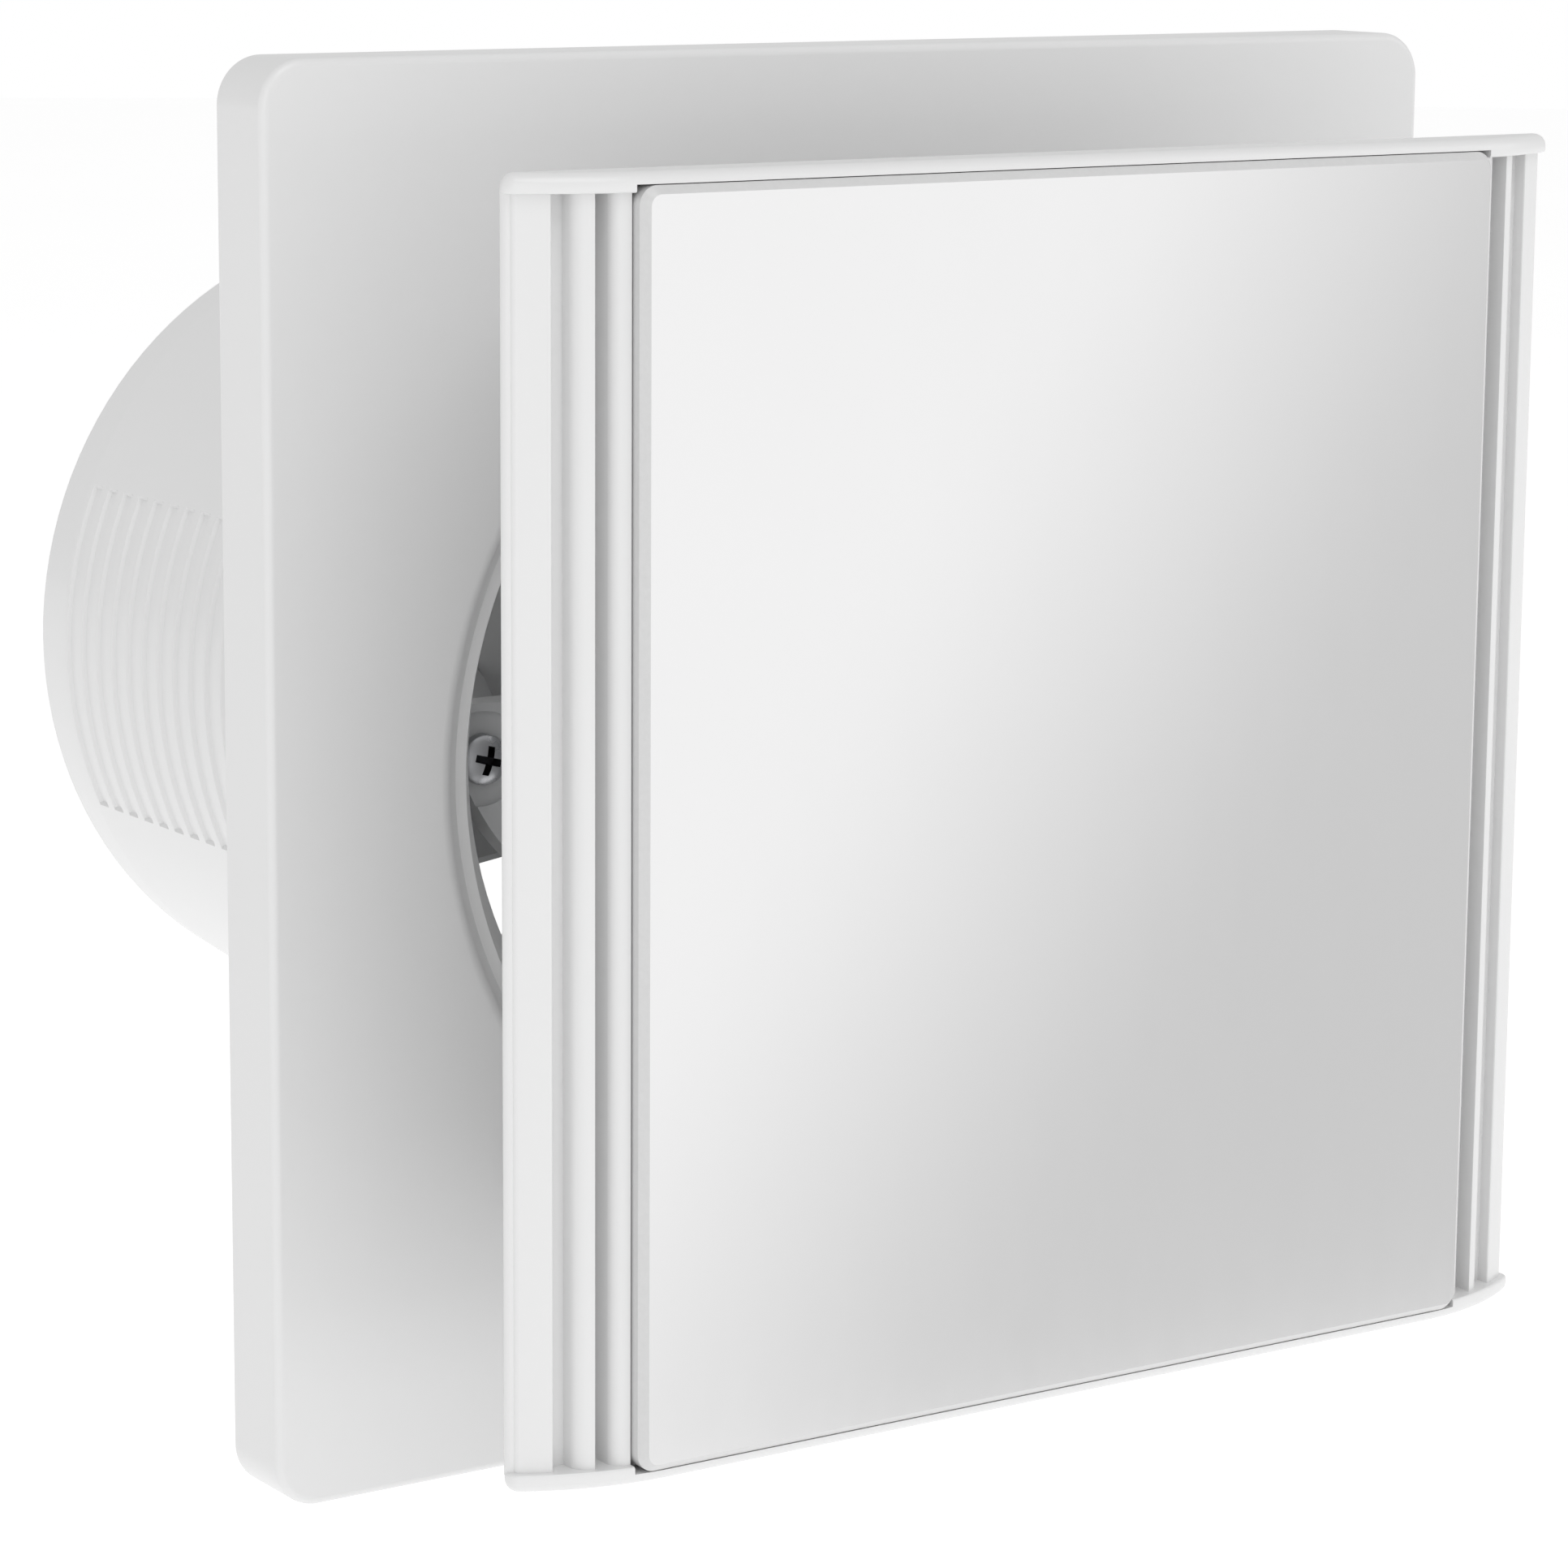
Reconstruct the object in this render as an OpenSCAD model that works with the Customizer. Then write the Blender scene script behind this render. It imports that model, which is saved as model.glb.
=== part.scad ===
// Wall-mounted bathroom extractor fan with a stand-off glass front.
// Frame: origin on the duct axis in the wall plane, +Y into the wall, +Z up, room side at -Y.

/* [Front plate] */
// Width and height of the square plate on the wall
plate_w = 150; // [146:1:160]
// Depth of the plate in front of the wall
plate_depth = 9.5; // [9:0.5:12]
// Corner radius of the plate
plate_corner_r = 5; // [4:0.5:8]
// Thickness of the plate's skin and rim
plate_wall = 2; // [1.6:0.2:2.2]
// Width and depth of the sloped edge of the air inlet
mouth_slope = 5.3; // [4.5:0.1:5.3]

/* [Duct] */
// Outer diameter of the duct spigot
duct_d = 98; // [97:0.5:99]
// Length of the spigot behind the wall plane
duct_length = 98.5; // [85:0.5:120]
// Wall thickness of the spigot
duct_wall = 1.8; // [1.6:0.1:2]
// Number of grip grooves on each side of the spigot
groove_count = 15; // [8:1:16]
// Distance from one grip groove to the next
groove_pitch = 3.95; // [3.5:0.05:4]
// Depth of a grip groove
groove_depth = 0.45; // [0.3:0.05:0.6]

/* [Cover] */
// Width of the front cover
cover_w = 131.8; // [130:0.2:133]
// Height of the front cover
cover_h = 131; // [131:1:136]
// Distance from the wall to the back of the cover
cover_back = 39.2; // [36:0.2:46]
// Depth of the cover's top and bottom caps
cover_depth = 6.9; // [6.6:0.1:8]
// Thickness of the cover's top and bottom caps
cap_t = 2; // [1.6:0.1:2]
// Width of the flat middle of the caps
cap_flat = 100; // [96:1:102]
// Radius of the curve at both ends of the caps
cap_curve_r = 30; // [28:1:34]
// Width of the two inner fins on each side
fin_t = 1.9; // [1.6:0.1:2]

/* [Glass panel] */
// Width of the glass panel
glass_w = 107.4; // [100:0.2:107.4]
// Height of the glass panel
glass_h = 128; // [122:0.2:128]
// Thickness of the glass panel
glass_t = 3; // [2.5:0.1:3.2]
// How far the glass stands proud of the caps
glass_proud = 0.8; // [0.4:0.1:1.2]
// Width of the ground bevel round the glass
glass_bevel = 0.8; // [0.4:0.1:1]

/* [Impeller] */
// Number of blades
blade_count = 6; // [5:1:9]
// Radius at the blade tips
blade_tip_r = 45.6; // [44:0.1:45.8]
// Angle of the blades to the plane of rotation
blade_pitch = 38; // [32:1:40]

/* [Hidden] */
$fn = 96;
e = 0.01;

// Back plate and duct housing
flange_t = 2.4;
flange_gap = 0.3;
flange_w = plate_w - 2 * plate_wall - 2 * flange_gap;
collar_r = 52;
collar_t = 1.1;
rebate_t = 1.2;
duct_r = duct_d / 2;
duct_bore_r = duct_r - duct_wall;
chamber_r = duct_bore_r - 0.8;
outlet_from = 45;
mouth_r = duct_r - 0.2;
mouth_edge_r = 2;
lead_in = 2;
end_taper = 7;
end_drop = 0.6;
groove_half_angle = 23.5;
groove_w = [2.3, 1.5];
groove_last_y = duct_length - end_taper - 2.2;

// Fixings of the plate and the housing
wall_hole = [30, 58];
wall_hole_r = 2.25;
wall_head_r = 4.2;
wall_head_depth = 2.5;
wall_boss_r = 5.2;
plate_screw_at = 64;
plate_screw_r = 1.25;
plate_screw_head_r = 2.6;
peg = [38, 47];
peg_r = 2.5;
peg_seat_r = 4;
peg_boss_r = 5.4;
peg_end = -flange_t - 0.4;
cable_z = -63;
cable_r = 3.5;
cable_hole_r = 6;

// Motor bracket
arm_angles = [180, 60, 300];
screw_circle_r = 43.4;
arm_front = 1.8;
arm_seat = 2.2;
arm_back = 5.2;
arm_seat_r = 5.2;
arm_tip_r = 3.6;
arm_trim_r = chamber_r - 0.3;
petal_r = 27;
petal_at = [20.3, 7.8];
petal_top = 6;
disc_r = 30;
box_wall = 2;
box_front = -18;
lid_t = 2;
lid_screw_x = 23.5;
lid_post_r = 3.3;
lead_at = [16, -2];
column_back = 14.6;
column_r = 4.6;
pilot_r = 1.3;

// Motor
stack_y = [11, 23];
stator_r = 25;
stator_ring = 4;
limb_half = 4.5;
gap_r = 9.4;
rotor_r = 9;
shoe_r = 13;
shoe_angle = 50;
shade_angle = 33;
shade_slot = 1.2;
shade_slot_r = 11.6;
bobbin_x = [13.3, 19];
bobbin_flange = 0.8;
coil_z = 8;
coil_over = 4;
motor_screw_z = 23;
motor_screw_r = 1.5;
bridge_w = 12;
bridge_t = 2;
shaft_r = 2;
bush_r = 4;
bush_clear = 0.04;
bush_front_y = [2.6, 8.2];
bush_rear_y = [25.8, 31];
ring_t = 1.8;

// Impeller
hub_r = 28;
hub_wall = 1.5;
hub_y = [9, 35];
blade_y = [15.5, 30.5];
blade_t = 1.6;
blade_curve_r = 32;
blade_start = 52;

// Cover
cover_front = cover_back + cover_depth;
cap_inner = cover_h / 2 - cap_t;
cap_recess = 0.8;
cap_reach = cover_w / 2 - cap_flat / 2;
cap_rise = cap_curve_r - cover_depth;
cap_half = cap_rise - cap_reach + cap_curve_r;
cap_end_r = sqrt(pow(cap_half, 2) + pow(cap_curve_r, 2) - pow(cap_reach, 2) - pow(cap_rise, 2)) - cap_half;
fin_set_back = 0.8;
fin_web_t = 1.2;
fin_bead_r = 0.85;
fin_bead_set_in = 1.1;
fin_3_x = glass_w / 2 + 0.3;
fin_2_x = fin_3_x + fin_t + 1.8;
fin_1_x = fin_2_x + fin_t + 2.1;
fin_1_t = cover_w / 2 - fin_1_x;
glass_front = cover_front + glass_proud;
pad_t = 0.8;
board_front = glass_front - glass_t - pad_t;
board_t = 2;
board_back = board_front - board_t;
board_rib = board_back - cover_back;
board_z = cap_inner + cap_recess + e;
glass_corner_r = 2;

// A flat outline in X and Z, given depth from y0 to y1
module along_y(y0, y1) {
    translate([0, y1, 0])
        rotate([90, 0, 0])
            linear_extrude(y1 - y0)
                children();
}

// A round rod along Y
module rod_y(r, y0, y1) {
    translate([0, y0, 0])
        rotate([-90, 0, 0])
            cylinder(r = r, h = y1 - y0);
}

// A cone along Y
module cone_y(r0, r1, y0, y1) {
    translate([0, y0, 0])
        rotate([-90, 0, 0])
            cylinder(r1 = r0, r2 = r1, h = y1 - y0);
}

// A profile of radius and depth, turned about Y
module turned() {
    rotate([-90, 0, 0])
        rotate_extrude()
            children();
}

// A washer or tube along Y
module tube_y(r_out, r_in, y0, y1) {
    difference() {
        rod_y(r_out, y0, y1);
        rod_y(r_in, y0 - 1, y1 + 1);
    }
}

// A rectangle with rounded corners
module rounded_rectangle(w, h, r) {
    square([w - 2 * r, h], center = true);
    square([w, h - 2 * r], center = true);
    for (sx = [-1, 1], sy = [-1, 1])
        translate([sx * (w / 2 - r), sy * (h / 2 - r)])
            circle(r = r);
}

// Copies at the four corners of a rectangle in X and Z
module at_corners(x, z) {
    for (sx = [-1, 1], sz = [-1, 1])
        translate([sx * x, 0, sz * z])
            children();
}

// Copies on the motor bracket's arms; children are drawn for the arm that points to -X
module at_arms() {
    for (a = arm_angles)
        rotate([0, 180 - a, 0])
            children();
}

// The same for a flat outline; the outline is drawn for the arm that points to -X
module at_arm_angles() {
    for (a = arm_angles)
        rotate(a - 180)
            children();
}

// Pan-head screw along Y, its head towards -Y, with a cross recess
module pan_screw(head_r, head_h, r, length) {
    difference() {
        union() {
            rod_y(head_r, -head_h * 0.55, 0);
            intersection() {
                rod_y(head_r, -head_h, -head_h * 0.55 + e);
                translate([0, head_r * 1.55 - head_h, 0])
                    sphere(r = head_r * 1.55);
            }
            rod_y(r, -e, length);
        }
        for (turn = [15, 105])
            rotate([0, turn, 0])
                translate([-head_r * 0.6, -head_h - 1, -head_r * 0.14])
                    cube([head_r * 1.2, head_h * 0.6 + 1, head_r * 0.28]);
    }
}

// Duct spigot with a collar in the wall plane and the columns that carry the motor bracket
module duct_housing() {
    color("white")
    difference() {
        union() {
            rod_y(mouth_r, -flange_t, 1);
            rod_y(collar_r, -collar_t, 0);
            rod_y(duct_r, 0, duct_length - end_taper);
            cone_y(duct_r, duct_r - end_drop, duct_length - end_taper, duct_length);
        }
        cone_y(mouth_r - 0.5, chamber_r, -flange_t, lead_in - flange_t);
        difference() {
            rod_y(chamber_r, -flange_t - 1, outlet_from + 1);
            at_arms() translate([-screw_circle_r, 0, 0]) rod_y(column_r, arm_back, column_back);
        }
        rod_y(duct_bore_r, outlet_from, duct_length + 1);
        at_arms() translate([-screw_circle_r, 0, 0]) rod_y(pilot_r, arm_back - 1, column_back - 1);
        grip_grooves();
    }
}

// Two combs of grooves that grip a flexible duct, at 3 and 9 o'clock
module grip_grooves() {
    for (side = [0, 180])
        rotate([-90, 0, 0])
            rotate_extrude(angle = 2 * groove_half_angle, start = side - groove_half_angle)
                for (i = [0 : groove_count - 1])
                    translate([duct_r, groove_last_y - i * groove_pitch])
                        polygon([
                            [-groove_depth, -groove_w[1] / 2], [0.5, -groove_w[0] / 2 - 0.4],
                            [0.5, groove_w[0] / 2 + 0.4], [-groove_depth, groove_w[1] / 2]
                        ]);
}

// Flat plate against the wall, with a rebate for the duct housing's collar
module back_plate() {
    color("white")
    difference() {
        along_y(-flange_t, 0)
            rounded_rectangle(flange_w, flange_w, plate_corner_r - plate_wall);
        rod_y(duct_r + 0.1, -flange_t - 1, 1);
        rod_y(collar_r + 0.3, -rebate_t, 1);
        at_corners(wall_hole[0], wall_hole[1]) rod_y(wall_hole_r, -flange_t - 1, 1);
        at_corners(plate_screw_at, plate_screw_at) {
            rod_y(pilot_r, -flange_t - 1, 1);
            cone_y(pilot_r, plate_screw_head_r + 0.15, -1.5, e);
        }
        translate([0, 0, cable_z]) rod_y(cable_hole_r + 1, -flange_t - 1, 1);
    }
}

// Square shell on the wall with a rounded air inlet
module front_plate() {
    front = -plate_depth;
    inner = front + plate_wall;
    edge_run = mouth_edge_r * tan(22.5);
    edge_r = mouth_r + mouth_slope + edge_run;
    color("white")
    difference() {
        union() {
            difference() {
                along_y(front, 0)
                    rounded_rectangle(plate_w, plate_w, plate_corner_r);
                along_y(inner, 1)
                    rounded_rectangle(plate_w - 2 * plate_wall, plate_w - 2 * plate_wall,
                        plate_corner_r - plate_wall);
            }
            rod_y(mouth_r + mouth_slope, front, front + mouth_slope);
            rod_y(mouth_r + plate_wall, front, -flange_t);
            at_corners(wall_hole[0], wall_hole[1]) rod_y(wall_boss_r, front, -flange_t);
            at_corners(plate_screw_at, plate_screw_at) rod_y(3.2, inner - 1, -flange_t);
            at_corners(peg[0], peg[1]) rod_y(peg_boss_r, front, -flange_t);
        }
        turned()
            difference() {
                polygon([
                    [0, front - 1], [edge_r, front - 1], [edge_r, front],
                    [mouth_r + mouth_slope - edge_run * sin(45), front + edge_run * cos(45)],
                    [mouth_r, front + mouth_slope], [mouth_r, 1], [0, 1]
                ]);
                translate([edge_r, front + mouth_edge_r])
                    circle(r = mouth_edge_r);
            }
        at_corners(wall_hole[0], wall_hole[1]) {
            rod_y(wall_hole_r, front - 1, 1);
            rod_y(wall_head_r, front - 1, front + wall_head_depth);
        }
        at_corners(plate_screw_at, plate_screw_at) rod_y(pilot_r, inner + 0.6, 1);
        at_corners(peg[0], peg[1]) rod_y(peg_seat_r, front - 1, 1);
        translate([0, 0, cable_z]) rod_y(cable_hole_r, front - 1, 1);
    }
}

// Countersunk screws that hold the plate on the housing, put in from the wall side
module plate_screws() {
    color("silver")
    at_corners(plate_screw_at, plate_screw_at)
        difference() {
            union() {
                rod_y(plate_screw_r, -plate_depth + plate_wall + 1, -1);
                cone_y(plate_screw_r, plate_screw_head_r, -1.4, -0.1);
            }
            for (turn = [0, 90])
                rotate([0, turn, 0])
                    translate([-1.5, -0.9, -0.35])
                        cube([3, 1, 0.7]);
        }
}

// Rubber sleeves in the plate that grip the cover's pegs
module peg_grommets() {
    color("dimgray")
    at_corners(peg[0], peg[1])
        difference() {
            union() {
                rod_y(peg_seat_r - 0.05, -plate_depth, -flange_t - 0.1);
                rod_y(peg_boss_r - 0.2, -plate_depth - 1.2, -plate_depth);
            }
            rod_y(peg_r + 0.06, -plate_depth - 2, 0);
        }
}

// Rubber grommet where the supply cable comes through the plate
module cable_grommet() {
    front = -plate_depth;
    color("dimgray")
    translate([0, 0, cable_z])
        difference() {
            union() {
                rod_y(cable_hole_r - 0.05, front - 1, front + plate_wall + 1);
                rod_y(cable_hole_r + 1.2, front - 1.5, front);
                rod_y(cable_hole_r + 0.9, front + plate_wall, front + plate_wall + 1.2);
            }
            rod_y(cable_r, front - 3, 0);
        }
}

// Outline of one swept arm, pointing to -X
module arm_outline() {
    intersection() {
        circle(r = arm_trim_r);
        union() {
            translate([-screw_circle_r, 0])
                circle(r = arm_tip_r);
            intersection() {
                translate([-petal_at[0], petal_at[1]])
                    circle(r = petal_r);
                translate([-arm_trim_r, -arm_trim_r])
                    square([arm_trim_r, arm_trim_r + petal_top]);
            }
        }
    }
}

// Three-armed moulding with the motor behind it and the terminal box in front of it
module motor_bracket() {
    box_y = (box_front + arm_front) / 2;
    color("gainsboro")
    difference() {
        union() {
            along_y(arm_front, arm_back) {
                circle(r = disc_r);
                at_arm_angles() arm_outline();
            }
            tube_y(disc_r, disc_r - box_wall, box_front, arm_front);
            for (side = [-1, 1])
                translate([side * lid_screw_x, 0, 0])
                    rod_y(lid_post_r, box_front + 2.6, arm_front + 1);
            translate([-7, box_y - 7, -disc_r + box_wall / 2]) cube([14, 14, box_wall / 2 + 1]);
        }
        rod_y(6.6, arm_front - 1, arm_back + 1);
        at_arms() translate([-screw_circle_r, 0, 0]) {
            rod_y(arm_seat_r, arm_front - 1, arm_seat);
            rod_y(plate_screw_r + 0.35, arm_front - 1, arm_back + 1);
        }
        for (side = [-1, 1]) {
            translate([side * lid_screw_x, 0, 0]) rod_y(pilot_r, box_front, arm_front - 2);
            translate([0, 0, side * motor_screw_z]) rod_y(motor_screw_r + 0.1, arm_front - 1, arm_back + 1);
            translate([side * lead_at[0], 0, lead_at[1]]) rod_y(1.7, arm_front - 1, arm_back + 1);
        }
        translate([0, box_y, -disc_r - 1]) cylinder(r = 5, h = 6);
    }
}

// Cross-head screws at the ends of the arms
module bracket_screws() {
    color("silver")
    at_arms()
        translate([-screw_circle_r, arm_seat, 0])
            pan_screw(2.75, 2.1, plate_screw_r, 9.5);
}

// Lid of the terminal box
module terminal_cover() {
    rim_r = disc_r - box_wall - 0.3;
    color("gainsboro")
    difference() {
        union() {
            rod_y(disc_r, box_front - lid_t, box_front);
            tube_y(rim_r, rim_r - 1.2, box_front - e, box_front + 2.2);
        }
        for (side = [-1, 1])
            translate([side * lid_screw_x, 0, 0]) {
                rod_y(1.6, box_front - lid_t - 1, box_front + 1);
                rod_y(lid_post_r + 0.3, box_front, box_front + 3);
            }
    }
}

// Screws of the lid
module terminal_cover_screws() {
    color("silver")
    for (side = [-1, 1])
        translate([side * lid_screw_x, box_front - lid_t, 0])
            pan_screw(2.75, 2, plate_screw_r, 12);
}

pole_x = [-9, 0, 9];
pole_z = [8.5, 14];
block_y = [-10.4, arm_front];
block_z = [5, 17.5];

// Three-pole terminal block
module terminal_block() {
    color("ivory")
    difference() {
        union() {
            translate([-13.5, block_y[0] + 3, block_z[0]])
                cube([27, block_y[1] - block_y[0] - 3, block_z[1] - block_z[0]]);
            for (x = pole_x)
                translate([x - 3.4, block_y[0], block_z[0] + 0.6])
                    cube([6.8, 4, block_z[1] - block_z[0] - 1.2]);
        }
        for (x = pole_x) {
            translate([x, -3, block_z[0] - 1]) cylinder(r = 2.4, h = block_z[1] - block_z[0] + 2);
            for (z = pole_z)
                translate([x, 0, z]) rod_y(1.9, block_y[0] - 1, -3);
        }
    }
}

// Brass sleeves that clamp the wires
module terminal_inserts() {
    color("goldenrod")
    for (x = pole_x)
        translate([x, -3, 0])
            difference() {
                translate([0, 0, block_z[0] + 0.5])
                    cylinder(r = 2.35, h = block_z[1] - block_z[0] - 1);
                translate([0, 0, block_z[0] - 1])
                    cylinder(r = 1.5, h = block_z[1] - block_z[0] + 2);
                for (z = pole_z)
                    translate([0, 0, z]) rod_y(1.3, -4, 0);
            }
}

// Slotted clamping screws of the terminal block
module terminal_screws() {
    color("silver")
    for (x = pole_x, z = pole_z)
        translate([x, 0, z])
            difference() {
                union() {
                    rod_y(1.75, -9.6, -7.8);
                    rod_y(1.25, -8, -4.2);
                }
                translate([-2, -10, -0.3]) cube([4, 1, 0.6]);
            }
}

clamp_z = -17;

// Strap that holds the supply cable inside the terminal box
module cable_clamp() {
    color("ivory")
    difference() {
        union() {
            for (side = [-1, 1])
                translate([side * 8, 0, clamp_z]) rod_y(2.6, -9.5, arm_front);
            translate([-10.6, -12, clamp_z - 2.6]) cube([21.2, 2.5, 5.2]);
        }
        for (side = [-1, 1])
            translate([side * 8, 0, clamp_z]) rod_y(1.4, -13, arm_front - 2);
        translate([0, -7, clamp_z - 3]) cylinder(r = cable_r + 0.1, h = 6);
    }
}

// Screws of the cable clamp
module clamp_screws() {
    color("silver")
    for (side = [-1, 1])
        translate([side * 8, -12, clamp_z])
            pan_screw(2.5, 1.7, plate_screw_r, 9);
}

// Rubber grommet in the wall of the terminal box
module gland_grommet() {
    box_y = (box_front + arm_front) / 2;
    outside = -disc_r - 0.3;
    color("dimgray")
    translate([0, box_y, 0])
        difference() {
            union() {
                translate([0, 0, outside]) cylinder(r = 4.95, h = 3.5);
                translate([0, 0, outside - 1.4]) cylinder(r = 6.4, h = 1.4);
                translate([0, 0, outside + 3.5]) cylinder(r = 5.8, h = 1.2);
            }
            translate([0, 0, outside - 3]) cylinder(r = cable_r, h = 10);
        }
}

// A straight stretch of wire between two points along X, Y or Z
module wire(a, b, r) {
    d = b - a;
    length = norm(d);
    turn = abs(d[0]) > e ? [0, 90 * sign(d[0]), 0]
        : abs(d[1]) > e ? [-90 * sign(d[1]), 0, 0]
        : [d[2] > 0 ? 0 : 180, 0, 0];
    translate(a)
        rotate(turn)
            cylinder(r = r, h = length);
}

// Insulated leads from the terminal block to the two coils
module motor_leads() {
    lead_r = 0.9;
    color("royalblue")
    for (side = [-1, 1]) {
        points = [
            [side * pole_x[2], -3, block_z[0] + 4], [side * pole_x[2], -3, lead_at[1]],
            [side * lead_at[0], -3, lead_at[1]],
            [side * lead_at[0], stack_y[0] - coil_over + 0.6, lead_at[1]]
        ];
        for (i = [0 : len(points) - 2])
            wire(points[i], points[i + 1], lead_r);
        for (i = [1 : len(points) - 2])
            translate(points[i]) sphere(r = lead_r);
    }
}

// Pie-shaped outline from the centre, between two angles
module wedge(a0, a1, r) {
    polygon([[0, 0], for (i = [0 : 4]) r * [cos(a0 + i * (a1 - a0) / 4), sin(a0 + i * (a1 - a0) / 4)]]);
}

// Stack of steel laminations with two poles
module stator_core() {
    color("slategray")
    along_y(stack_y[0], stack_y[1])
        difference() {
            union() {
                difference() {
                    circle(r = stator_r);
                    circle(r = stator_r - stator_ring);
                }
                for (side = [0, 180])
                    rotate(side) {
                        translate([gap_r, -limb_half]) square([stator_r - stator_ring / 2 - gap_r, 2 * limb_half]);
                        intersection() {
                            circle(r = shoe_r);
                            wedge(-shoe_angle, shoe_angle, 2 * shoe_r);
                        }
                    }
            }
            circle(r = gap_r);
            for (side = [0, 180])
                rotate(side + shade_angle)
                    translate([gap_r - 1, -shade_slot / 2]) square([shade_slot_r - gap_r + 1, shade_slot]);
            for (side = [-1, 1])
                translate([0, side * motor_screw_z]) circle(r = motor_screw_r + 0.1);
        }
}

// Copper rings round the tips of the poles, which make the motor start and turn one way
module shading_rings() {
    tip = (shoe_angle - shade_angle) * PI / 180 * shade_slot_r;
    loop_t = shade_slot - 0.2;
    color("chocolate")
    for (side = [0, 180])
        rotate([0, -(side + shade_angle), 0])
            difference() {
                translate([gap_r + 0.2, stack_y[0] - loop_t, -loop_t / 2])
                    cube([shade_slot_r - gap_r - 0.4, stack_y[1] - stack_y[0] + 2 * loop_t, tip + 2 * loop_t + 0.3]);
                translate([gap_r - 1, stack_y[0] - e, loop_t / 2])
                    cube([shoe_r, stack_y[1] - stack_y[0] + 2 * e, tip + 0.3]);
            }
}

// Frame round a limb of the stator: a tube with its outside half-sizes given
module limb_frame(x0, x1, half_z, over_y, hole_z, hole_y) {
    depth = stack_y[1] - stack_y[0];
    difference() {
        translate([x0, stack_y[0] - over_y, -half_z])
            cube([x1 - x0, depth + 2 * over_y, 2 * half_z]);
        translate([x0 - 1, stack_y[0] - hole_y, -hole_z])
            cube([x1 - x0 + 2, depth + 2 * hole_y, 2 * hole_z]);
    }
}

// Plastic spools on the limbs
module coil_bobbins() {
    color("black")
    for (side = [0, 180])
        rotate([0, side, 0]) {
            limb_frame(bobbin_x[0], bobbin_x[1], limb_half + 0.9, 0.9, limb_half + 0.1, 0.1);
            for (x = [bobbin_x[0], bobbin_x[1] - bobbin_flange])
                limb_frame(x, x + bobbin_flange, coil_z, coil_over, limb_half + 0.1, 0.1);
        }
}

// Enamelled copper windings
module coil_windings() {
    color("peru")
    for (side = [0, 180])
        rotate([0, side, 0])
            limb_frame(bobbin_x[0] + bobbin_flange + 0.05, bobbin_x[1] - bobbin_flange - 0.05,
                coil_z - 0.6, coil_over - 0.6, limb_half + 0.95, 0.95);
}

// Outline shared by both bearing bridges
module bridge_outline() {
    intersection() {
        circle(r = stator_r);
        union() {
            square([bridge_w, 2 * stator_r], center = true);
            circle(r = 8);
        }
    }
}

// Bearing bridge: a die-cast bar with a boss for a bush, and two feet on the stator
module bridge(plate_y, boss_y, foot_y) {
    color("lightsteelblue")
    difference() {
        union() {
            along_y(plate_y[0], plate_y[1]) bridge_outline();
            rod_y(6, boss_y[0], boss_y[1]);
            for (side = [-1, 1])
                intersection() {
                    translate([0, 0, side * motor_screw_z]) rod_y(3.2, foot_y[0], foot_y[1]);
                    rod_y(stator_r, foot_y[0], foot_y[1]);
                }
        }
        rod_y(bush_r, boss_y[0] - 1, boss_y[1] + 1);
        for (side = [-1, 1])
            translate([0, 0, side * motor_screw_z])
                rod_y(motor_screw_r + 0.1, plate_y[0] - 10, plate_y[1] + 10);
    }
}

module front_bridge() {
    bridge([arm_back, arm_back + bridge_t], bush_front_y, [arm_back, stack_y[0]]);
}

module rear_bridge() {
    bridge([28.8 - bridge_t, 28.8], bush_rear_y, [stack_y[1], 28.8]);
}

// Sintered bronze sleeve bearings
module front_bush() {
    color("darkgoldenrod")
    tube_y(bush_r, shaft_r + bush_clear, bush_front_y[0], bush_front_y[1]);
}

module rear_bush() {
    color("darkgoldenrod")
    tube_y(bush_r, shaft_r + bush_clear, bush_rear_y[0], bush_rear_y[1]);
}

// Spring-steel caps pressed over the outer ends of the bushes
module bush_retainers() {
    color("silver") {
        tube_y(5.4, shaft_r + 0.5, bush_front_y[0] - 0.5, bush_front_y[0]);
        tube_y(5.4, shaft_r + 0.5, bush_rear_y[1], bush_rear_y[1] + 0.3);
    }
}

// Long screws that clamp the bridges and the stator to the bracket
module motor_screws() {
    color("silver")
    for (side = [-1, 1])
        translate([0, 0, side * motor_screw_z])
            rotate([0, 0, 180])
                translate([0, -28.8, 0])
                    pan_screw(2.8, 1.9, motor_screw_r, 28.8 - arm_front);
}

bar_circle_r = rotor_r - 1.6;
bar_r = 0.7;
bar_count = 12;

// Laminated rotor
module rotor_core() {
    color("slategray")
    difference() {
        rod_y(rotor_r, stack_y[0], stack_y[1]);
        rod_y(shaft_r, stack_y[0] - 1, stack_y[1] + 1);
        for (i = [1 : bar_count])
            rotate([0, i * 360 / bar_count, 0])
                translate([bar_circle_r, 0, 0])
                    rod_y(bar_r, stack_y[0] - 1, stack_y[1] + 1);
    }
}

// Cast aluminium cage: end rings and the bars between them
module rotor_cage() {
    color("lightgray") {
        tube_y(rotor_r - 0.4, rotor_r - 3.6, stack_y[0] - ring_t, stack_y[0]);
        tube_y(rotor_r - 0.4, rotor_r - 3.6, stack_y[1], stack_y[1] + ring_t);
        for (i = [1 : bar_count])
            rotate([0, i * 360 / bar_count, 0])
                translate([bar_circle_r, 0, 0])
                    rod_y(bar_r, stack_y[0] - e, stack_y[1] + e);
    }
}

// Steel shaft with a pointed end at the front
module shaft() {
    color("silver") {
        rod_y(shaft_r, 2, 39.5);
        cone_y(shaft_r, shaft_r - 0.6, 39.5, 40.1);
        cone_y(shaft_r - 0.6, shaft_r, 1.4, 2);
    }
}

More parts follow.
